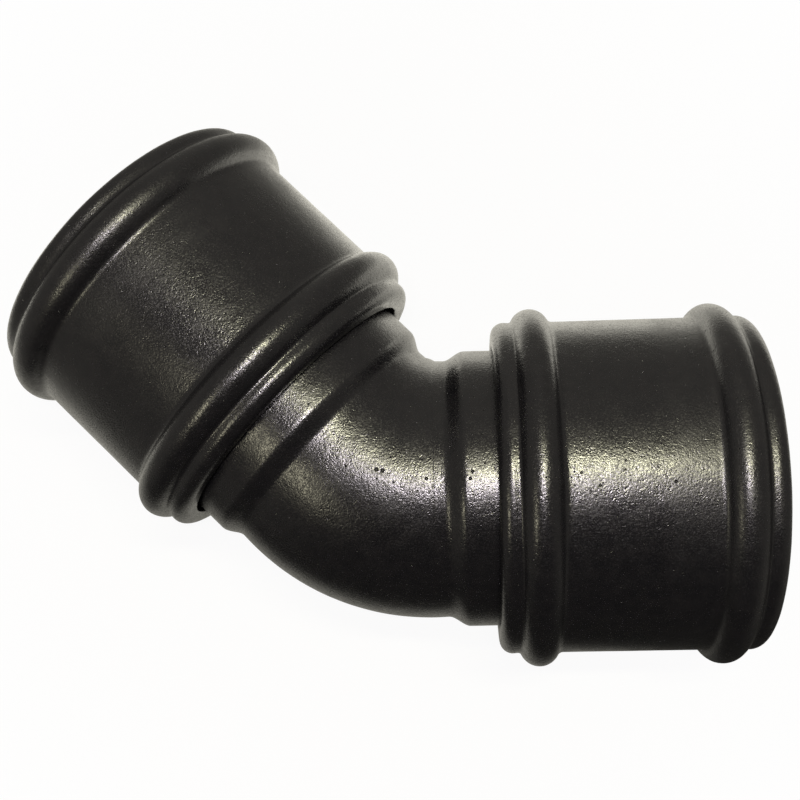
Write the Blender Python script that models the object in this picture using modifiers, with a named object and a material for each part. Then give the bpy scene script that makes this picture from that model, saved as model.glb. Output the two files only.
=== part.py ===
"""Soil pipe bend: a cast bend of 45 degrees with a push-fit double socket on each end.

The bend lies on its side, as it comes to rest. Its two legs meet at the bend's centre. The outlet leg
points along +X and the inlet leg points back and to the side, so the angle between them is 135 degrees.
The origin is under the middle of the whole fitting, on the surface that it lies on.
"""

import math

import bmesh
import bpy
from mathutils import Vector

MM = 0.001

# The cast bend
TURN = math.radians(45)
BORE_RADIUS = 50 * MM
BARREL_WALL = 5 * MM
THROAT_RADIUS = 15 * MM
THROAT_RUN = 1 * MM
HEEL_RUN = 9 * MM
CONE_LENGTH = 6 * MM
SPIGOT_THICKENING = 4 * MM
SPIGOT_SHOWN = 13.5 * MM
SPIGOT_CHAMFER = 2 * MM

# The outside of a collar
COLLAR_THICKNESS = 9.5 * MM
COLLAR_BODY_LENGTH = 56 * MM
LIP_ROUND = 5.3 * MM
LIP_CREST = 3.1 * MM
LIP_RISE = 0.2 * MM
VALLEY_DEPTH = 0.5 * MM
BEAD_HEIGHT = 5.7 * MM
BEAD_ROUND = 8.3 * MM
BEAD_FILLET = 3 * MM

# The inside of a collar
MOUTH_CLEARANCE = 2 * MM
MOUTH_CHAMFER = 1.2 * MM
GROOVE_DEPTH = 8 * MM
LAND_LENGTH = 8 * MM
RELIEF_DEPTH = 3.5 * MM
STOP_WIDTH = 6 * MM
STOP_CLEARANCE = 2 * MM

# The rubber rings and how pieces seat on each other
SEAT_GAP = 0.3 * MM
SEAL_WIDTH = 13 * MM
SEAL_SHOULDER = 0.7 * MM
SEAL_BITE = 2 * MM
SEAL_LIP_THICKNESS = 2.4 * MM

# Facets
SIDES = 48
BEND_STEPS = 9
CORNER_STEPS = 4
BEAD_STEPS = 6
FILLET_STEPS = 2

# Radii that follow
BARREL_RADIUS = BORE_RADIUS + BARREL_WALL
SPIGOT_RADIUS = BARREL_RADIUS + SPIGOT_THICKENING
LAND_RADIUS = SPIGOT_RADIUS + MOUTH_CLEARANCE
GROOVE_RADIUS = LAND_RADIUS + GROOVE_DEPTH
RELIEF_RADIUS = LAND_RADIUS + RELIEF_DEPTH
STOP_RADIUS = BORE_RADIUS + STOP_CLEARANCE
COLLAR_RADIUS = LAND_RADIUS + COLLAR_THICKNESS
LIP_RADIUS = COLLAR_RADIUS + LIP_RISE
VALLEY_RADIUS = LIP_RADIUS - VALLEY_DEPTH
BEAD_RADIUS = COLLAR_RADIUS + BEAD_HEIGHT

# Where the bead's round meets the valley on one side and its fillet on the other
BEAD_ROUND_CENTRE = BEAD_RADIUS - BEAD_ROUND
VALLEY_RISE = VALLEY_RADIUS - BEAD_ROUND_CENTRE
FILLET_RISE = COLLAR_RADIUS + BEAD_FILLET - BEAD_ROUND_CENTRE
VALLEY_REACH = math.sqrt(BEAD_ROUND ** 2 - VALLEY_RISE ** 2)
FILLET_REACH = math.sqrt((BEAD_ROUND + BEAD_FILLET) ** 2 - FILLET_RISE ** 2)

# Places along a collar, from its mouth
BEAD_PLACE = LIP_ROUND + LIP_CREST + VALLEY_REACH
GROOVE_WIDTH = SEAL_WIDTH + 2 * SEAT_GAP
GROOVE_START = BEAD_PLACE - GROOVE_WIDTH / 2
GROOVE_END = BEAD_PLACE + GROOVE_WIDTH / 2
LAND_END = GROOVE_END + LAND_LENGTH
COLLAR_LENGTH = 2 * (BEAD_PLACE + FILLET_REACH) + COLLAR_BODY_LENGTH
STOP_START = COLLAR_LENGTH / 2 - STOP_WIDTH / 2

# Places along a leg, from the bend's centre, and the heel's arc, which ends a straight run short of the cone
THROAT_TANGENT = (THROAT_RADIUS + BARREL_RADIUS) * math.tan(TURN / 2)
CONE_START = THROAT_TANGENT + THROAT_RUN
HEEL_TANGENT = CONE_START - HEEL_RUN
HEEL_RADIUS = BARREL_RADIUS + HEEL_TANGENT / math.tan(TURN / 2)
CONE_END = CONE_START + CONE_LENGTH
COLLAR_START = CONE_END + SPIGOT_SHOWN
SPIGOT_END = COLLAR_START + STOP_START - SEAT_GAP

OUTLET_ANGLE = 0.0
INLET_ANGLE = math.pi - TURN


def remove_scene_objects():
    """Start from an empty scene."""
    for item in list(bpy.data.objects):
        bpy.data.objects.remove(item, do_unlink=True)


def finish(name, colour, roughness, metallic):
    """A plain material with the colour and gloss of one sub-part."""
    material = bpy.data.materials.new(name)
    material.use_nodes = True
    shader = material.node_tree.nodes["Principled BSDF"]
    shader.inputs["Base Color"].default_value = (*colour, 1)
    shader.inputs["Roughness"].default_value = roughness
    shader.inputs["Metallic"].default_value = metallic
    material.diffuse_color = (*colour, 1)
    return material


def arc(centre, radius, start, end, steps):
    """Points of an arc in the (along, out) plane of a profile; angles in degrees."""
    turns = [math.radians(start + (end - start) * i / steps) for i in range(steps + 1)]
    return [(centre[0] + radius * math.cos(t), centre[1] + radius * math.sin(t)) for t in turns]


def collar_outside_half():
    """The outside of a collar from its end face to its body: lip, valley, bead and fillet."""
    lip_centre = (LIP_ROUND, LIP_RADIUS - LIP_ROUND)
    bead_centre = (BEAD_PLACE, BEAD_ROUND_CENTRE)
    fillet_centre = (BEAD_PLACE + FILLET_REACH, COLLAR_RADIUS + BEAD_FILLET)
    valley_angle = math.degrees(math.atan2(VALLEY_RISE, -VALLEY_REACH))
    fillet_angle = math.degrees(math.atan2(FILLET_RISE, FILLET_REACH))
    points = arc(lip_centre, LIP_ROUND, 180, 90, CORNER_STEPS)
    points += arc(bead_centre, BEAD_ROUND, valley_angle, 90, BEAD_STEPS // 2)
    points += arc(bead_centre, BEAD_ROUND, 90, fillet_angle, BEAD_STEPS // 2)[1:]
    points += arc(fillet_centre, BEAD_FILLET, 180 + fillet_angle, 270, FILLET_STEPS)[1:]
    return points


def collar_inside_half():
    """The inside of a collar from its end face to the stop: mouth, groove, land, relief and stop."""
    return [
        (0, LAND_RADIUS + MOUTH_CHAMFER),
        (MOUTH_CHAMFER, LAND_RADIUS),
        (GROOVE_START, LAND_RADIUS),
        (GROOVE_START, GROOVE_RADIUS),
        (GROOVE_END, GROOVE_RADIUS),
        (GROOVE_END, LAND_RADIUS),
        (LAND_END, LAND_RADIUS),
        (LAND_END + RELIEF_DEPTH, RELIEF_RADIUS),
        (STOP_START, RELIEF_RADIUS),
        (STOP_START, STOP_RADIUS),
    ]


def both_halves(points):
    """A half profile of the collar followed by its mirror image about the collar's middle."""
    return points + [(COLLAR_LENGTH - along, out) for along, out in reversed(points)]


def collar_profile():
    """The closed section of a collar, from one end face along the outside and back through the bore."""
    return both_halves(collar_outside_half()) + both_halves(collar_inside_half())[::-1]


def pressed_seal_profile():
    """The section of the ring that the bend's spigot squeezes flat."""
    near, far = GROOVE_START + SEAT_GAP, GROOVE_END - SEAT_GAP
    shoulder = LAND_RADIUS + SEAL_SHOULDER
    nose = SPIGOT_RADIUS + SEAT_GAP
    slope = shoulder - nose
    return [
        (near, GROOVE_RADIUS - SEAT_GAP),
        (far, GROOVE_RADIUS - SEAT_GAP),
        (far, shoulder),
        (far - slope, nose),
        (near + slope, nose),
        (near, shoulder),
    ]


def free_seal_profile():
    """The section of the ring that waits for a pipe: its lip leans inwards, away from the mouth."""
    near, far = GROOVE_START + SEAT_GAP, GROOVE_END - SEAT_GAP
    shoulder = LAND_RADIUS + SEAL_SHOULDER
    tip = SPIGOT_RADIUS - SEAL_BITE
    lean = shoulder - tip
    return [
        (near, GROOVE_RADIUS - SEAT_GAP),
        (far, GROOVE_RADIUS - SEAT_GAP),
        (far, shoulder),
        (near + 2 * SEAL_LIP_THICKNESS, shoulder),
        (near + SEAL_LIP_THICKNESS + lean, tip + SEAL_LIP_THICKNESS / 2),
        (near + lean, tip),
        (near, shoulder),
    ]


def turned(name, profile, start, flip, axis, material, collection):
    """A closed profile turned about a leg's axis; flip turns its mouth end away from the bend."""
    if flip:
        profile = [(COLLAR_LENGTH - along, out) for along, out in reversed(profile)]
    mesh = bpy.data.meshes.new(name)
    # The outer side runs down the profile, so the turned faces point out
    points = [(out, 0, start + along) for along, out in reversed(profile)]
    edges = [(i, (i + 1) % len(points)) for i in range(len(points))]
    mesh.from_pydata(points, edges, [])
    mesh.materials.append(material)
    item = bpy.data.objects.new(name, mesh)
    item.parent = axis
    collection.objects.link(item)
    screw = item.modifiers.new("turn", "SCREW")
    screw.axis = "Z"
    screw.angle = 2 * math.pi
    screw.steps = SIDES
    screw.render_steps = SIDES
    screw.use_merge_vertices = True
    screw.merge_threshold = 0.01 * MM
    screw.use_smooth_shade = True
    return item


def direction(angle):
    """A unit vector in the plane of the bend."""
    return Vector((math.cos(angle), math.sin(angle), 0))


def section(centre, reach, height):
    """A ring of points: reach is its half width across the bend's plane, as a vector."""
    ring = []
    for i in range(SIDES):
        turn = 2 * math.pi * i / SIDES
        ring.append(centre + reach * math.cos(turn) + Vector((0, 0, height * math.sin(turn))))
    return ring


def leg_section(angle, throat_side, along, radius):
    """A round section square to a leg; throat_side points from the leg's axis to the throat."""
    return section(direction(angle) * along, throat_side * radius, radius)


def elbow_sections(inset):
    """Sections of the bend between its heel and throat arcs, inset from the outer skin by a wall."""
    to_throat = direction((OUTLET_ANGLE + INLET_ANGLE) / 2)
    heel_centre = to_throat * (HEEL_RADIUS - BARREL_RADIUS) / math.cos(TURN / 2)
    throat_centre = to_throat * (THROAT_RADIUS + BARREL_RADIUS) / math.cos(TURN / 2)
    sections = []
    for i in range(BEND_STEPS + 1):
        ray = direction(-math.pi / 2 - TURN * i / BEND_STEPS)
        heel = heel_centre + ray * (HEEL_RADIUS - inset)
        throat = throat_centre + ray * (THROAT_RADIUS + inset)
        sections.append(section((heel + throat) / 2, (throat - heel) / 2, BARREL_RADIUS - inset))
    return sections


def bend_sections():
    """All sections of the bend: along the outside from outlet to inlet, then back along the bore."""
    outlet_side = direction(OUTLET_ANGLE + math.pi / 2)
    inlet_side = direction(INLET_ANGLE - math.pi / 2)
    leg = [
        (SPIGOT_END, SPIGOT_RADIUS - SPIGOT_CHAMFER),
        (SPIGOT_END - SPIGOT_CHAMFER, SPIGOT_RADIUS),
        (CONE_END, SPIGOT_RADIUS),
        (CONE_START, BARREL_RADIUS),
    ]
    outside = [leg_section(OUTLET_ANGLE, outlet_side, along, radius) for along, radius in leg]
    outside += elbow_sections(0)
    outside += [leg_section(INLET_ANGLE, inlet_side, along, radius) for along, radius in leg[::-1]]
    bore = [leg_section(INLET_ANGLE, inlet_side, SPIGOT_END, BORE_RADIUS)]
    bore += elbow_sections(BARREL_WALL)[::-1]
    bore += [leg_section(OUTLET_ANGLE, outlet_side, SPIGOT_END, BORE_RADIUS)]
    return outside + bore


def make_bend(centre, material, collection):
    """The cast bend: one skin lofted through its sections and closed on itself at the spigot ends."""
    shape = bmesh.new()
    rings = [[shape.verts.new(point) for point in ring] for ring in bend_sections()]
    for ring, following in zip(rings, rings[1:] + rings[:1]):
        for i in range(SIDES):
            j = (i + 1) % SIDES
            shape.faces.new((ring[i], ring[j], following[j], following[i]))
    bmesh.ops.recalc_face_normals(shape, faces=shape.faces)
    mesh = bpy.data.meshes.new("bend")
    shape.to_mesh(mesh)
    shape.free()
    mesh.materials.append(material)
    mesh.shade_smooth()
    mesh.set_sharp_from_angle(angle=math.radians(30))
    item = bpy.data.objects.new("bend", mesh)
    item.parent = centre
    collection.objects.link(item)
    return item


def make_leg(name, angle, centre, collection):
    """A collar and its two rings on one leg, turned about an empty whose Z runs out along the leg."""
    axis = bpy.data.objects.new(name + "_axis", None)
    axis.parent = centre
    axis.rotation_euler = (0, math.pi / 2, angle)
    collection.objects.link(axis)
    paint = finish(name + "_collar_paint", (0.022, 0.021, 0.018), 0.32, 0.0)
    rubber = finish(name + "_seal_rubber", (0.012, 0.012, 0.013), 0.75, 0.0)
    for part, profile, flip, material in (
        ("collar", collar_profile(), False, paint),
        ("bend_seal", pressed_seal_profile(), False, rubber),
        ("pipe_seal", free_seal_profile(), True, rubber),
    ):
        turned(name + "_" + part, profile, COLLAR_START, flip, axis, material, collection)


def centre_place():
    """The bend's centre, when the fitting's lowest face is at zero and its box is centred."""
    across, back = [], []
    for angle in (OUTLET_ANGLE, INLET_ANGLE):
        for along, out in collar_profile():
            for side in (-out, out):
                point = direction(angle) * (COLLAR_START + along) + direction(angle + math.pi / 2) * side
                across.append(point.x)
                back.append(point.y)
    return Vector((-(min(across) + max(across)) / 2, -(min(back) + max(back)) / 2, BEAD_RADIUS))


def main():
    remove_scene_objects()
    collection = bpy.data.collections.new("soil_pipe_bend")
    bpy.context.scene.collection.children.link(collection)
    centre = bpy.data.objects.new("bend_centre", None)
    centre.location = centre_place()
    collection.objects.link(centre)
    make_bend(centre, finish("bend_paint", (0.022, 0.021, 0.018), 0.32, 0.0), collection)
    make_leg("outlet", OUTLET_ANGLE, centre, collection)
    make_leg("inlet", INLET_ANGLE, centre, collection)


main()
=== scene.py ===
import math

import bmesh
import bpy
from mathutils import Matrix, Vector


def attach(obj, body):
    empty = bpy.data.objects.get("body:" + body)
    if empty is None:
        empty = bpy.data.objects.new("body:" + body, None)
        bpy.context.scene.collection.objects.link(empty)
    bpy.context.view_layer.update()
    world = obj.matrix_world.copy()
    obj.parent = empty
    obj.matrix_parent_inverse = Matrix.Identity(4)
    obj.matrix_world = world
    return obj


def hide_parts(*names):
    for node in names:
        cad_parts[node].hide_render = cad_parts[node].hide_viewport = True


# Looks of the soil pipe bend: black painted castings that lie on a white studio floor.
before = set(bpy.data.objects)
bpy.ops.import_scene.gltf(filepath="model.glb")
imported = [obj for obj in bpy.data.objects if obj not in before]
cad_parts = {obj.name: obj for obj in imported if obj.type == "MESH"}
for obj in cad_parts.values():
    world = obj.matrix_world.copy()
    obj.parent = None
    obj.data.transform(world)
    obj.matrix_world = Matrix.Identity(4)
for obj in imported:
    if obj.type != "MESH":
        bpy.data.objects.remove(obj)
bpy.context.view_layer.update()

MM = 0.001

# Sizes of the castings, the same as in the part's source
TURN = math.radians(45)
BORE_RADIUS = 50 * MM
BARREL_WALL = 5 * MM
BARREL_RADIUS = 55 * MM
SPIGOT_RADIUS = 59 * MM
SPIGOT_CHAMFER = 2 * MM
HIDDEN_PLACES = (86 * MM, 74 * MM, 62 * MM, 56 * MM)
THROAT_RADIUS = 15 * MM
HEEL_RADIUS = 105.69 * MM
CONE_START = 29.995 * MM
CONE_END = 35.995 * MM
CONE_ROUND = 1.5 * MM
COLLAR_START = 49.495 * MM
SPIGOT_END = 100.385 * MM
COLLAR_LENGTH = 108.379 * MM
COLLAR_RADIUS = 70.5 * MM
LIP_RADIUS = 70.7 * MM
LIP_ROUND = 5.3 * MM
BEAD_PLACE = 16.375 * MM
BEAD_CENTRE = 67.9 * MM
BEAD_ROUND = 8.3 * MM
BEAD_FILLET = 3 * MM
FILLET_REACH = 9.815 * MM
FILLET_ANGLE = 29.71
VALLEY_ANGLE = 162
VALLEY_ROUND = 1.5 * MM
LAND_RADIUS = 61 * MM
MOUTH_ROUND = 1.2 * MM
GROOVE_START = 9.575 * MM
GROOVE_END = 23.175 * MM
GROOVE_RADIUS = 69 * MM
LAND_END = 31.175 * MM
RELIEF_RADIUS = 64.5 * MM
RELIEF_SLOPE = 3.5 * MM
STOP_START = 51.19 * MM
STOP_RADIUS = 52 * MM
SEAT_GAP = 0.3 * MM
RING_SHOULDER = LAND_RADIUS + 0.7 * MM
RING_TIP = 57 * MM
RING_TIP_ROUND = 1.2 * MM
RING_FOOT = 4.8 * MM

BEND_CENTRE = (0.7784 * MM, -41.6156 * MM, 76.2 * MM)
INLET_TURN = math.pi - TURN

# The finer look of the castings, which the part's source leaves out
SAND_DEPTH = 0.15 * MM
SAND_WIDTH = 15 * MM
SHARP_ANGLE = 35
TURNED_LINE = 24.4 * MM
DULL_START = 128 * MM
DULL_END = 138 * MM

# Colours of the paint and the rubber
DEEP_BLACK = (0.0048, 0.0046, 0.0062)
SOFT_BLACK = (0.0076, 0.0070, 0.0086)
# Painted shade: pin holes and pits take this darker colour
PIN_HOLE_PAINTED_SHADE = (0.0025, 0.0022, 0.0022)
# Dust nibs, lighter partly for real dust and partly as a painted glint
NIB_DUST_AND_GLINT = (0.016, 0.015, 0.013)
RUBBER_BLACK = (0.010, 0.010, 0.011)
RUBBER_BLOOM = (0.022, 0.022, 0.023)
NO_LIGHT = (0, 0, 0)

# Sizes of the studio, whose tent and card glow with painted reflections and painted shade
TENT_RADIUS = 0.36
TENT_SPREAD = 4
TENT_HEIGHT = 2.5
TENT_LIFT = 1 * MM
CARD_LIFT = 0.5 * MM
CARD_NEAR = 0.2
CARD_DEPTH = 0.56
PAINTED_POOL_REACH = 0.4


class Pen:
    """Draws the section of a turned piece in the plane of along (X) and out (Z).

    The pen is the selected point."""

    def __init__(self, name, along, out):
        bpy.ops.object.select_all(action="DESELECT")
        bpy.ops.mesh.primitive_plane_add(size=MM)
        self.piece = bpy.context.object
        self.piece.name = self.piece.data.name = name
        bpy.ops.object.mode_set(mode="EDIT")
        bpy.ops.mesh.merge(type="CENTER")
        bpy.ops.transform.translate(value=(along, 0, out))
        self.along, self.out = along, out

    def line(self, along, out, steps=1):
        """A straight stroke to a place, in equal steps."""
        step = ((along - self.along) / steps, 0, (out - self.out) / steps)
        for _ in range(steps):
            bpy.ops.mesh.extrude_region_move(TRANSFORM_OT_translate={"value": step})
        self.along, self.out = along, out

    def arc(self, centre, degrees, steps):
        """A round stroke about a centre, from along towards out where degrees is above zero."""
        turn = math.radians(degrees)
        middle = (centre[0], 0, centre[1])
        bpy.ops.mesh.spin(steps=steps, angle=turn, center=middle, axis=(0, 1, 0))
        x, z = self.along - centre[0], self.out - centre[1]
        self.along = centre[0] + x * math.cos(turn) - z * math.sin(turn)
        self.out = centre[1] + x * math.sin(turn) + z * math.cos(turn)

    def mirror(self):
        """Add the section's other half, on the far side of along zero."""
        bpy.ops.object.mode_set(mode="OBJECT")
        mirror = self.piece.modifiers.new("other half", "MIRROR")
        mirror.merge_threshold = 0.01 * MM
        bpy.ops.object.modifier_apply(modifier=mirror.name)
        bpy.ops.object.mode_set(mode="EDIT")

    def turn(self, sides):
        """Turn the closed section about the X axis into a solid ring."""
        bpy.ops.mesh.select_all(action="SELECT")
        bpy.ops.mesh.remove_doubles(threshold=0.01 * MM)
        whole = 2 * math.pi
        bpy.ops.mesh.spin(steps=sides, angle=whole, center=(0, 0, 0), axis=(1, 0, 0))
        bpy.ops.mesh.select_all(action="SELECT")
        bpy.ops.mesh.remove_doubles(threshold=0.01 * MM)
        bpy.ops.mesh.normals_make_consistent(inside=False)
        bpy.ops.object.mode_set(mode="OBJECT")
        return self.piece


def valley_curve():
    """The small round in the valley between bead and lip: its middle, where the bead's arc
    stops, and its turn. It touches the bead's arc and the straight stroke to the lip."""
    steep = math.radians(VALLEY_ANGLE)
    bead = Vector((BEAD_PLACE, BEAD_CENTRE))
    foot = bead + BEAD_ROUND * Vector((math.cos(steep), math.sin(steep)))
    stroke = (Vector((LIP_ROUND, LIP_RADIUS)) - foot).normalized()
    outward = Vector((stroke.y, -stroke.x))
    start = foot + outward * VALLEY_ROUND - bead
    reach = start.dot(stroke)
    run = -reach + math.sqrt(reach**2 - start.length_squared + (BEAD_ROUND + VALLEY_ROUND) ** 2)
    away = start + stroke * run
    bead_stop = math.degrees(math.atan2(away.y, away.x))
    valley_stop = math.degrees(math.atan2(-outward.y, -outward.x))
    return bead + away, bead_stop, valley_stop - (bead_stop - 180)


def cast_collar():
    """A double socket collar about the origin, drawn for one half and mirrored: body, fillet,
    bead, valley and lip, then mouth, ring groove, land, relief and stop."""
    half = COLLAR_LENGTH / 2
    fillet = BEAD_PLACE + FILLET_REACH - half
    valley, bead_stop, valley_turn = valley_curve()
    pen = Pen("collar", 0, COLLAR_RADIUS)
    pen.line(fillet, COLLAR_RADIUS, 26)
    pen.arc((fillet, COLLAR_RADIUS + BEAD_FILLET), FILLET_ANGLE - 90, 4)
    pen.arc((BEAD_PLACE - half, BEAD_CENTRE), bead_stop - FILLET_ANGLE, 20)
    pen.arc((valley.x - half, valley.y), valley_turn, 5)
    pen.line(LIP_ROUND - half, LIP_RADIUS, 4)
    pen.arc((LIP_ROUND - half, LIP_RADIUS - LIP_ROUND), 90, 10)
    pen.line(-half, LAND_RADIUS + MOUTH_ROUND, 3)
    pen.arc((MOUTH_ROUND - half, LAND_RADIUS + MOUTH_ROUND), 90, 4)
    pen.line(GROOVE_START - half, LAND_RADIUS, 4)
    pen.line(GROOVE_START - half, GROOVE_RADIUS, 2)
    pen.line(GROOVE_END - half, GROOVE_RADIUS, 2)
    pen.line(GROOVE_END - half, LAND_RADIUS, 2)
    pen.line(LAND_END - half, LAND_RADIUS, 3)
    pen.line(LAND_END + RELIEF_SLOPE - half, RELIEF_RADIUS, 2)
    pen.line(STOP_START - half, RELIEF_RADIUS, 4)
    pen.line(STOP_START - half, STOP_RADIUS, 3)
    pen.line(0, STOP_RADIUS)
    pen.mirror()
    return pen.turn(360)


def section_ring(centre, turn, half_width, half_height, sides):
    """Add one section of the bend in edit mode, upright and turned in the plane of the bend."""
    upright = (0, math.pi / 2, 0)
    bpy.ops.mesh.primitive_circle_add(vertices=sides, radius=half_height, rotation=upright)
    bpy.ops.transform.resize(value=(1, half_width / half_height, 1), center_override=(0, 0, 0))
    bpy.ops.transform.rotate(value=-turn, orient_axis="Z", center_override=(0, 0, 0))
    bpy.ops.transform.translate(value=(centre[0], centre[1], 0))


def leg_places():
    """Places and radii of a leg's outside sections, from the spigot's end to the elbow."""
    places = [(SPIGOT_END, SPIGOT_RADIUS - SPIGOT_CHAMFER)]
    places += [(place, SPIGOT_RADIUS) for place in (SPIGOT_END - SPIGOT_CHAMFER, *HIDDEN_PLACES)]
    seen_from = COLLAR_START + 2 * MM
    first, last = CONE_END + CONE_ROUND, CONE_START - CONE_ROUND
    steps = 14
    places += [(seen_from + (first - seen_from) * i / steps, SPIGOT_RADIUS) for i in range(steps)]
    steps = 12
    for i in range(steps + 1):
        rise = 1 - i / steps
        ease = rise * rise * (3 - 2 * rise)
        radius = BARREL_RADIUS + (SPIGOT_RADIUS - BARREL_RADIUS) * ease
        places.append((first + (last - first) * i / steps, radius))
    return places


def elbow_section(share, inset):
    """Middle and half width of the elbow's section at a share of its turn.

    It lies between the heel's arc and the throat's, which have different middles."""
    middle = (math.pi + TURN) / 2 - TURN
    heel = (HEEL_RADIUS - BARREL_RADIUS) / math.cos(TURN / 2)
    throat = (THROAT_RADIUS + BARREL_RADIUS) / math.cos(TURN / 2)
    ray = -math.pi / 2 - TURN * share
    to_throat = (math.cos(middle), math.sin(middle))
    out = (math.cos(ray), math.sin(ray))
    near = [throat * a + (THROAT_RADIUS + inset) * b for a, b in zip(to_throat, out)]
    far = [heel * a + (HEEL_RADIUS - inset) * b for a, b in zip(to_throat, out)]
    return [(a + b) / 2 for a, b in zip(near, far)], math.dist(near, far) / 2


def cast_bend(sides=300, steps=45, bore_steps=24):
    """The bend about its centre: sections bridged along the outside and along the bore, and
    closed at the ends."""
    bpy.ops.object.select_all(action="DESELECT")
    bpy.ops.mesh.primitive_circle_add(vertices=3, radius=MM)
    piece = bpy.context.object
    piece.name = piece.data.name = "bend_casting"
    bpy.ops.object.mode_set(mode="EDIT")
    bpy.ops.mesh.delete(type="VERT")
    inlet = (math.cos(INLET_TURN), math.sin(INLET_TURN))
    outside = [((place, 0), 0, radius, radius) for place, radius in leg_places()]
    for i in range(steps + 1):
        centre, half_width = elbow_section(i / steps, 0)
        outside.append((centre, -TURN * i / steps, half_width, BARREL_RADIUS))
    for place, radius in reversed(leg_places()):
        outside.append(((inlet[0] * place, inlet[1] * place), -TURN, radius, radius))
    bore = [((SPIGOT_END, 0), 0, BORE_RADIUS, BORE_RADIUS)]
    for i in range(bore_steps + 1):
        centre, half_width = elbow_section(i / bore_steps, BARREL_WALL)
        bore.append((centre, -TURN * i / bore_steps, half_width, BORE_RADIUS))
    bore.append(((inlet[0] * SPIGOT_END, inlet[1] * SPIGOT_END), -TURN, BORE_RADIUS, BORE_RADIUS))
    for ring in outside + bore:
        section_ring(*ring, sides)
    outside_end, bore_end = len(outside), len(outside) + len(bore)
    for rings in (
        range(outside_end),
        range(outside_end, bore_end),
        (0, outside_end),
        (outside_end - 1, bore_end - 1),
    ):
        select_rings(piece, rings, sides)
        bpy.ops.mesh.bridge_edge_loops()
    bpy.ops.mesh.select_all(action="SELECT")
    bpy.ops.mesh.normals_make_consistent(inside=False)
    bpy.ops.object.mode_set(mode="OBJECT")
    return piece


def select_rings(piece, rings, sides):
    """Select whole sections of the bend by their order."""
    bpy.ops.mesh.select_mode(type="VERT")
    bpy.ops.mesh.select_all(action="DESELECT")
    shape = bmesh.from_edit_mesh(piece.data)
    shape.verts.ensure_lookup_table()
    for ring in rings:
        for i in range(sides):
            shape.verts[ring * sides + i].select = True
    for edge in shape.edges:
        edge.select = edge.verts[0].select and edge.verts[1].select
    shape.select_flush_mode()
    bmesh.update_edit_mesh(piece.data)


def squeezed_seal():
    """The rubber ring that the bend's spigot presses flat in its groove."""
    half = COLLAR_LENGTH / 2
    near, far = GROOVE_START + SEAT_GAP - half, GROOVE_END - SEAT_GAP - half
    top, nose = GROOVE_RADIUS - SEAT_GAP, SPIGOT_RADIUS + SEAT_GAP
    slope = RING_SHOULDER - nose
    pen = Pen("bend_ring", near, RING_SHOULDER)
    pen.line(near, top, 4)
    pen.line(far, top, 4)
    pen.line(far, RING_SHOULDER, 4)
    pen.line(far - slope, nose, 3)
    pen.line(near + slope, nose, 4)
    pen.line(near, RING_SHOULDER, 3)
    return pen.turn(192)


def open_seal():
    """The rubber ring that waits for the next pipe, with its lip leaning into the socket."""
    half = COLLAR_LENGTH / 2
    near, far = GROOVE_START + SEAT_GAP - half, GROOVE_END - SEAT_GAP - half
    top = GROOVE_RADIUS - SEAT_GAP
    lean = RING_SHOULDER - RING_TIP
    round_along, round_out = near + RING_TIP_ROUND + lean, RING_TIP + RING_TIP_ROUND
    pen = Pen("pipe_ring", near, RING_SHOULDER)
    pen.line(near, top, 4)
    pen.line(far, top, 4)
    pen.line(far, RING_SHOULDER, 4)
    pen.line(near + RING_FOOT, RING_SHOULDER, 3)
    pen.line(round_along + RING_TIP_ROUND, round_out, 4)
    pen.arc((round_along, round_out), -90, 4)
    pen.line(near + lean, RING_TIP, 2)
    pen.line(near, RING_SHOULDER, 5)
    return pen.turn(240)


def copy_of(piece, name):
    """A copy of a piece with its own mesh."""
    bpy.ops.object.select_all(action="DESELECT")
    piece.select_set(True)
    bpy.context.view_layer.objects.active = piece
    bpy.ops.object.duplicate(linked=False)
    copy = bpy.context.object
    copy.name = copy.data.name = name
    return copy


def place_on_leg(piece, name, turn, flip=False):
    """Put a piece at the middle of a leg's collar, turned end for end where flip is set."""
    piece.name = piece.data.name = name
    middle = COLLAR_START + COLLAR_LENGTH / 2
    piece.rotation_euler = (0, 0, turn + (math.pi if flip else 0))
    piece.location = (
        BEND_CENTRE[0] + middle * math.cos(turn),
        BEND_CENTRE[1] + middle * math.sin(turn),
        BEND_CENTRE[2],
    )
    settle(piece)


def settle(piece):
    """Write a piece's place into its mesh."""
    bpy.ops.object.select_all(action="DESELECT")
    piece.select_set(True)
    bpy.context.view_layer.objects.active = piece
    bpy.ops.object.transform_apply(location=True, rotation=True, scale=True)


def roughen(piece):
    """Give a casting the slow unevenness of a sand mould."""
    bpy.context.view_layer.objects.active = piece
    sand = bpy.data.textures.new("sand mould", "CLOUDS")
    sand.noise_scale = SAND_WIDTH
    sand.noise_depth = 2
    uneven = piece.modifiers.new("uneven skin", "DISPLACE")
    uneven.texture = sand
    uneven.texture_coords = "LOCAL"
    uneven.strength = SAND_DEPTH
    uneven.mid_level = 0.5
    bpy.ops.object.modifier_apply(modifier=uneven.name)


def smooth(piece):
    """Shade a piece smooth, and keep its sharp edges."""
    bpy.ops.object.select_all(action="DESELECT")
    piece.select_set(True)
    bpy.context.view_layer.objects.active = piece
    bpy.ops.object.shade_smooth_by_angle(angle=math.radians(SHARP_ANGLE))


class Shade:
    """A number, colour or place that varies over a surface. Sums on numbers add Math nodes."""

    def __init__(self, finish, socket):
        self.finish, self.socket = finish, socket

    def __add__(self, other):
        return self.finish.sum("ADD", self, other)

    def __sub__(self, other):
        return self.finish.sum("SUBTRACT", self, other)

    def __mul__(self, other):
        return self.finish.sum("MULTIPLY", self, other)

    def __rsub__(self, other):
        return self.finish.sum("SUBTRACT", other, self)

    __radd__, __rmul__ = __add__, __mul__


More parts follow.
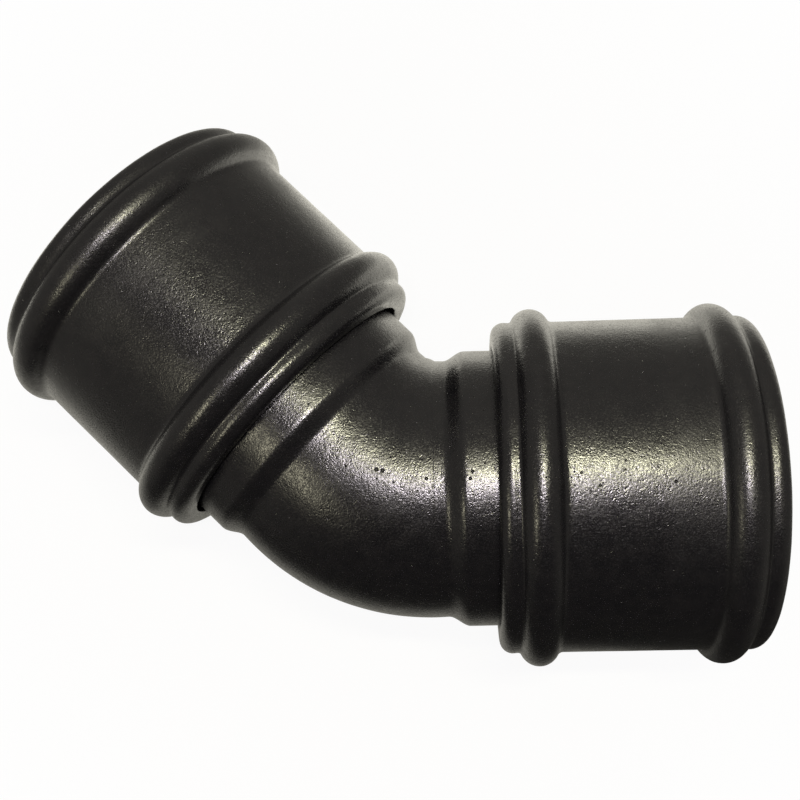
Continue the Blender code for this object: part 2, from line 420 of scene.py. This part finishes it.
class Finish:
    """The nodes of one material."""

    def __init__(self, name):
        self.material = bpy.data.materials.new(name)
        self.material.use_nodes = True
        self.tree = self.material.node_tree
        self.tree.nodes.clear()

    def node(self, kind, settings, inputs, output=0):
        """Add a node, its settings first, then the values or links of its sockets.

        It gives one of the node's outputs."""
        node = self.tree.nodes.new(kind)
        for setting, value in settings.items():
            if setting == "stops":
                ramp = node.color_ramp.elements
                for i, (place, level) in enumerate(value):
                    stop = ramp[i] if i < 2 else ramp.new(place)
                    stop.position, stop.color = place, (level, level, level, 1)
            else:
                setattr(node, setting, value)
        for name, value in inputs.items():
            if isinstance(value, Shade):
                self.tree.links.new(value.socket, node.inputs[name])
            else:
                node.inputs[name].default_value = value
        return Shade(self, node.outputs[output])

    def sum(self, operation, *values):
        """A sum on numbers."""
        return self.node("ShaderNodeMath", {"operation": operation}, dict(enumerate(values)))

    def place(self):
        """Where a point of the surface lies."""
        return self.node("ShaderNodeTexCoord", {}, {}, "Object")

    def vector(self, operation, *places, output="Vector"):
        """A sum on places. Its Value is a length, a distance or a product."""
        inputs = dict(enumerate(places))
        return self.node("ShaderNodeVectorMath", {"operation": operation}, inputs, output)

    def noise(self, place, size, detail=2.0, rough=0.5):
        """Cloudy noise about zero, with spots of about a size."""
        settings = {"noise_dimensions": "3D"}
        inputs = {"Vector": place, "Scale": 1 / size, "Detail": detail, "Roughness": rough}
        return self.node("ShaderNodeTexNoise", settings, inputs) - 0.5

    def ease(self, value, low, high):
        """A soft step from 0 at low to 1 at high."""
        inputs = {"Value": value, "From Min": low, "From Max": high}
        return self.node("ShaderNodeMapRange", {"interpolation_type": "SMOOTHSTEP"}, inputs)

    def blend(self, share, first, second):
        """A colour between two."""
        first, second = [c if isinstance(c, Shade) else (*c, 1) for c in (first, second)]
        return self.node("ShaderNodeMix", {"data_type": "RGBA"}, {0: share, 6: first, 7: second}, 2)

    def specks(self, place, spacing, radius, share):
        """Round specks strewn at random: 1 in their middles, for a share of the places."""
        inputs = {"Vector": place, "Scale": 1 / spacing}
        chosen = self.node("ShaderNodeTexVoronoi", {}, inputs, "Color")
        near = self.node("ShaderNodeTexVoronoi", {}, inputs, "Distance")
        lot = self.node("ShaderNodeSeparateColor", {}, {"Color": chosen}, "Red")
        round_speck = 1 - self.ease(near, 0, radius / spacing)
        return round_speck * self.ease(lot, 1 - share - 0.01, 1 - share)

    def scored(self, place, start, end, width):
        """A straight scratch between two places: 1 in its middle."""
        whole = Vector(end) - Vector(start)
        past = self.vector("SUBTRACT", place, start)
        run = self.vector("DOT_PRODUCT", past, whole, output="Value")
        inputs = {"Value": run, "From Min": 0, "From Max": whole.length_squared}
        share = self.node("ShaderNodeMapRange", {}, inputs)
        inputs = {0: whole, "Scale": share}
        near = self.node("ShaderNodeVectorMath", {"operation": "SCALE"}, inputs)
        away = self.vector("DISTANCE", past, near, output="Value")
        return 1 - self.ease(away, 0, width)

    def finish_as(self, shader):
        """Lay a shader on the surface, and give the material."""
        output = self.tree.nodes.new("ShaderNodeOutputMaterial")
        self.tree.links.new(shader.socket, output.inputs["Surface"])
        return self.material

    def glowing(self, colour, strength=1.0):
        """A surface that only glows."""
        inputs = {"Color": colour, "Strength": strength}
        return self.finish_as(self.node("ShaderNodeEmission", {}, inputs))


def satin_paint(name, pits, scratches=(), turned_line=False):
    """Black satin paint over a cast skin: slow hollows of the sand, ripples, a peel that comes in
    patches, dry spots where the gloss is lost, nibs of dust with a painted glint, pin holes, and
    the few pits and scratches that a casting has, with painted shade darkening the pin holes and
    pits. The gloss is duller near the outer ends of the collars."""
    finish = Finish(name)
    place = finish.place()
    hollows = finish.noise(place, 5 * MM, 2)
    ripples = finish.noise(place, 1.2 * MM, 0)
    patches = finish.ease(finish.noise(place, 2.2 * MM, 1), -0.05, 0.25)
    peel = finish.noise(place, 0.62 * MM, 0) * (0.75 + patches * 1.5)
    dry = finish.ease(finish.noise(place, 0.62 * MM, 1), -0.1, 0.25)
    nibs = finish.specks(place, 2.2 * MM, 0.34 * MM, 0.6)
    holes = finish.specks(place, 3.6 * MM, 0.42 * MM, 0.7)
    for spot, radius in pits:
        away = finish.vector("DISTANCE", place, spot, output="Value")
        holes = finish.sum("MAXIMUM", holes, 1 - finish.ease(away, 0.15 * radius, radius))
    height = hollows * (0.07 * MM) + ripples * (0.05 * MM)
    height = height + peel * (0.06 * MM) + nibs * (0.07 * MM)
    height = height - holes * (0.35 * MM)
    if turned_line:
        along = finish.node("ShaderNodeSeparateXYZ", {}, {"Vector": place}, "X")
        away = finish.sum("ABSOLUTE", along - (BEND_CENTRE[0] + TURNED_LINE))
        line = 1 - finish.ease(away, 0.05 * MM, 0.45 * MM)
        height = height - line * (0.05 * MM)
    for start, end in scratches:
        height = height - finish.scored(place, start, end, 0.35 * MM) * (0.12 * MM)
    dull = finish.ease(finish.noise(place, 9 * MM, 3), -0.12, 0.16)
    tone = finish.ease(finish.noise(place, 5 * MM, 3, 0.6), -0.2, 0.2)
    colour = finish.blend(tone, DEEP_BLACK, SOFT_BLACK)
    # Painted shade inside pin holes and pits
    colour = finish.blend(holes, colour, PIN_HOLE_PAINTED_SHADE)
    # Dust nibs are lighter: real dust and a painted glint
    colour = finish.blend(nibs * 0.5, colour, NIB_DUST_AND_GLINT)
    out = finish.vector("DISTANCE", place, BEND_CENTRE, output="Value")
    worn = finish.ease(out, DULL_START, DULL_END)
    rough = 0.21 + dull * 0.05 + dry * 0.18 + worn * 0.06 + holes * 0.3
    bump = finish.node("ShaderNodeBump", {}, {"Height": height, "Strength": 1, "Distance": 1})
    inputs = {"Base Color": colour, "Roughness": rough, "Normal": bump}
    inputs["Specular IOR Level"] = 0.75
    return finish.finish_as(finish.node("ShaderNodeBsdfPrincipled", {}, inputs))


def matt_rubber():
    """Moulded black rubber with a dusty bloom."""
    finish = Finish("matt black rubber")
    place = finish.place()
    bloom = finish.ease(finish.noise(place, 6 * MM, 3, 0.6), -0.15, 0.2)
    grain = finish.noise(place, 0.4 * MM, 2)
    colour = finish.blend(bloom, RUBBER_BLACK, RUBBER_BLOOM)
    height = grain * (0.03 * MM) + finish.noise(place, 3 * MM) * (0.05 * MM)
    bump = finish.node("ShaderNodeBump", {}, {"Height": height, "Strength": 1, "Distance": 1})
    inputs = {"Base Color": colour, "Roughness": 0.62 + bloom * 0.2, "Normal": bump}
    return finish.finish_as(finish.node("ShaderNodeBsdfPrincipled", {}, inputs))


def show(piece, node, material):
    """A finished piece rides on the fitting and stands for its CAD node."""
    piece.data.materials.clear()
    piece.data.materials.append(material)
    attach(piece, "root")
    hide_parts(node)


def make_camera():
    """The photograph's camera, above the fitting and looking down."""
    camera = bpy.data.objects.new("camera", bpy.data.cameras.new("camera"))
    bpy.context.scene.collection.objects.link(camera)
    camera.location = (0.036734, -0.053011, 0.580783)
    camera.rotation_euler = (0.098003, 0.055006, -0.023274)
    camera.data.lens = 52.108
    camera.data.sensor_width = 36
    camera.data.clip_start = 0.01
    bpy.context.scene.camera = camera


def soft_box(name, place, width, height, power, colour, turn=0.0):
    """A flat lamp that hangs level and shines down, turned by some degrees."""
    lamp = bpy.data.lights.new(name, "AREA")
    lamp.shape = "RECTANGLE"
    lamp.size, lamp.size_y = width, height
    lamp.energy = power
    lamp.color = colour
    box = bpy.data.objects.new(name, lamp)
    bpy.context.scene.collection.objects.link(box)
    box.location = place
    box.rotation_euler = (0, 0, math.radians(turn))
    box.visible_camera = False


def white_paper():
    """White to the camera and in gloss, and lit near the fitting enough to keep its shadow."""
    finish = Finish("white paper")
    seen = 0.92
    ray = finish.node("ShaderNodeLightPath", {}, {}, "Is Camera Ray")
    for kind in ("Is Glossy Ray", "Is Transmission Ray"):
        ray = finish.sum("MAXIMUM", ray, finish.node("ShaderNodeLightPath", {}, {}, kind))
    away = finish.vector("LENGTH", finish.place(), output="Value")
    white = finish.node("ShaderNodeEmission", {}, {"Color": (1, 1, 1, 1), "Strength": 1.0})
    lit = finish.node("ShaderNodeBsdfDiffuse", {}, {"Color": (0.95, 0.95, 0.95, 1)})
    share = ray * (seen + (1 - seen) * finish.ease(away, 0.12, 0.4))
    return finish.finish_as(finish.node("ShaderNodeMixShader", {}, {0: share, 1: lit, 2: white}))


def painted_tent_reflection():
    """The tent glows though it is no lamp, a painted reflection in the gloss: painted shade nearly
    dark on the near side, and pale behind.
    """
    finish = Finish("painted reflection of the tent")
    flat = finish.vector("MULTIPLY", finish.place(), (1, 1, 0))
    way = finish.vector("NORMALIZE", flat)
    side = finish.node("ShaderNodeSeparateXYZ", {}, {"Vector": way}, "Y")
    stops = ((0.0, 0.035), (0.07, 0.04), (0.15, 0.09), (0.25, 0.17))
    stops += ((0.5, 0.22), (0.93, 0.24), (1.0, 0.30))
    # Painted reflection: the glow is painted dark on the near side and pale behind
    glow = finish.node("ShaderNodeValToRGB", {"stops": stops}, {0: 0.5 + side * 0.5})
    return finish.glowing(finish.blend(glow, NO_LIGHT, (1.0, 0.95, 0.84)))


def painted_card_light_and_shade():
    """The card under the fitting glows though it is no lamp, painting light and shade into the
    gloss: painted shade on the near side, brightest across the middle, dimmer behind, and with a
    painted pool of light close round the fitting."""
    finish = Finish("painted shade and light card")
    place = finish.place()
    side = finish.node("ShaderNodeSeparateXYZ", {}, {"Vector": place}, "Y")
    stops = ((0.0, 0.015), (0.09, 0.02), (0.18, 0.15), (0.27, 0.29), (0.357, 0.5))
    stops += ((0.464, 0.6), (0.55, 0.85), (0.6, 0.95), (0.643, 0.6), (0.7, 0.38))
    stops += ((0.786, 0.24), (0.893, 0.15), (1.0, 0.13))
    depth = (side + CARD_NEAR) * (1 / CARD_DEPTH)
    glow = finish.node("ShaderNodeValToRGB", {"stops": stops}, {0: depth})
    away = finish.vector("LENGTH", place, output="Value")
    stops = ((0.39, 0.22), (0.43, 0.16), (0.465, 0.1), (0.5, 0.055), (0.545, 0.025), (0.62, 0.015))
    # Painted pool of light close round the fitting
    painted_light_pool = finish.node("ShaderNodeValToRGB", {"stops": stops}, {0: away * (1 / PAINTED_POOL_REACH)})
    glow = finish.sum("MAXIMUM", glow, painted_light_pool)
    return finish.glowing(finish.blend(glow, NO_LIGHT, (1.0, 0.965, 0.85)), 2.0)


def only_in_gloss(card):
    """A card that shows in the paint's gloss and nowhere else."""
    card.visible_camera = card.visible_diffuse = card.visible_shadow = False
    card.visible_transmission = card.visible_volume_scatter = False


def stage_piece(name, material):
    """Give the piece just made a name and a finish."""
    piece = bpy.context.object
    piece.name = piece.data.name = name
    piece.data.materials.append(material)
    return piece


def make_studio():
    """White paper in a tent and over a card that glow though they are no lamps, painting
    reflections into the gloss with painted shade on the near side, with three soft boxes and a weak
    fill lamp above. Lengths are in metres."""
    paper = white_paper()
    bpy.ops.object.select_all(action="DESELECT")
    bpy.ops.mesh.primitive_plane_add(size=12)
    stage_piece("floor", paper)
    wall = {"radius": 5, "depth": 2.4, "location": (0, 0, 1.2), "end_fill_type": "NOTHING"}
    bpy.ops.mesh.primitive_cylinder_add(vertices=96, **wall)
    bpy.ops.object.transform_apply(location=True)
    stage_piece("backdrop", paper)

    bpy.ops.mesh.primitive_circle_add(vertices=96, radius=TENT_RADIUS, location=(0, 0, 0))
    bpy.ops.object.mode_set(mode="EDIT")
    bpy.ops.mesh.extrude_region_move(TRANSFORM_OT_translate={"value": (0, 0, TENT_LIFT)})
    bpy.ops.transform.resize(value=(TENT_SPREAD, TENT_SPREAD, 1), center_override=(0, 0, 0))
    bpy.ops.mesh.extrude_region_move(TRANSFORM_OT_translate={"value": (0, 0, TENT_HEIGHT)})
    bpy.ops.object.mode_set(mode="OBJECT")
    # The tent glows though it is no lamp and paints reflections into the gloss
    only_in_gloss(stage_piece("tent", painted_tent_reflection()))

    disc = {"radius": TENT_RADIUS, "location": (0, 0, CARD_LIFT), "fill_type": "NGON"}
    bpy.ops.mesh.primitive_circle_add(vertices=96, **disc)
    bpy.ops.object.transform_apply(location=True)
    # The card glows though it is no lamp, with painted shade and painted light seen only in the
    # gloss
    only_in_gloss(stage_piece("painted_shade_and_light_card", painted_card_light_and_shade()))

    soft_box("soft_box", (0.037, -0.043, 1.2), 0.28, 0.07, 4.94, (1.0, 0.907, 0.985))
    soft_box("warm_box", (0.167, 0.142, 1.2), 0.40, 0.04, 6.07, (1.0, 0.976, 0.676))
    soft_box("side_box", (-0.271, -0.207, 0.466), 0.032, 0.22, 0.34, (1.0, 0.94, 0.69), -20)
    soft_box("fill_box", (-0.20, -0.285, 1.2), 0.22, 0.18, 0.105, (1.0, 0.95, 0.92))
    world = bpy.context.scene.world or bpy.data.worlds.new("world")
    bpy.context.scene.world = world
    world.use_nodes = True
    background = world.node_tree.nodes["Background"]
    background.inputs["Color"].default_value = (0.092, 0.083, 0.086, 1)
    bpy.context.scene.view_settings.view_transform = "Standard"


# Places and radii of the larger pits, and the two ends of each scratch
BEND_PITS = (
    ((3.23 * MM, -35.06 * MM, 131.13 * MM), 1.0 * MM),
    ((5.56 * MM, -35.51 * MM, 131.11 * MM), 1.0 * MM),
    ((22.59 * MM, -39.04 * MM, 131.15 * MM), 0.8 * MM),
    ((9.74 * MM, -40.27 * MM, 131.17 * MM), 0.5 * MM),
    ((40.43 * MM, -36.92 * MM, 135.02 * MM), 0.8 * MM),
    ((39.58 * MM, -39.58 * MM, 135.13 * MM), 0.8 * MM),
    ((4.17 * MM, -94.06 * MM, 87.34 * MM), 0.9 * MM),
)
BEND_SCRATCHES = (
    ((44.15 * MM, -53.81 * MM, 133.94 * MM), (48.77 * MM, -52.40 * MM, 134.20 * MM)),
)
COLLAR_PITS = (
    ((80.76 * MM, -38.73 * MM, 146.59 * MM), 0.65 * MM),
    ((87.57 * MM, -43.72 * MM, 146.66 * MM), 0.7 * MM),
    ((115.49 * MM, -42.94 * MM, 146.70 * MM), 0.75 * MM),
    ((97.19 * MM, -34.68 * MM, 146.33 * MM), 0.5 * MM),
    ((97.01 * MM, -38.03 * MM, 146.60 * MM), 0.5 * MM),
    ((53.56 * MM, 17.93 * MM, 113.48 * MM), 0.7 * MM),
)


def main():
    """Make the bend, then each leg's collar and its two rubber rings, then the studio."""
    bend_paint = satin_paint("black satin paint on the bend", BEND_PITS, BEND_SCRATCHES, True)
    collar_paint = satin_paint("black satin paint on the collars", COLLAR_PITS)
    rubber = matt_rubber()
    make_camera()
    bend = cast_bend()
    bend.location = BEND_CENTRE
    settle(bend)
    roughen(bend)
    smooth(bend)
    show(bend, "bend", bend_paint)
    outlet = cast_collar()
    inlet = copy_of(outlet, "inlet")
    for collar, name, turn in ((outlet, "outlet", 0), (inlet, "inlet", INLET_TURN)):
        place_on_leg(collar, name + "_collar_casting", turn)
        roughen(collar)
        smooth(collar)
        show(collar, name + "_collar", collar_paint)
        for make_ring, side, flip in ((squeezed_seal, "_bend", False), (open_seal, "_pipe", True)):
            ring = make_ring()
            place_on_leg(ring, name + side + "_ring", turn, flip)
            smooth(ring)
            show(ring, name + side + "_seal", rubber)
    make_studio()


main()
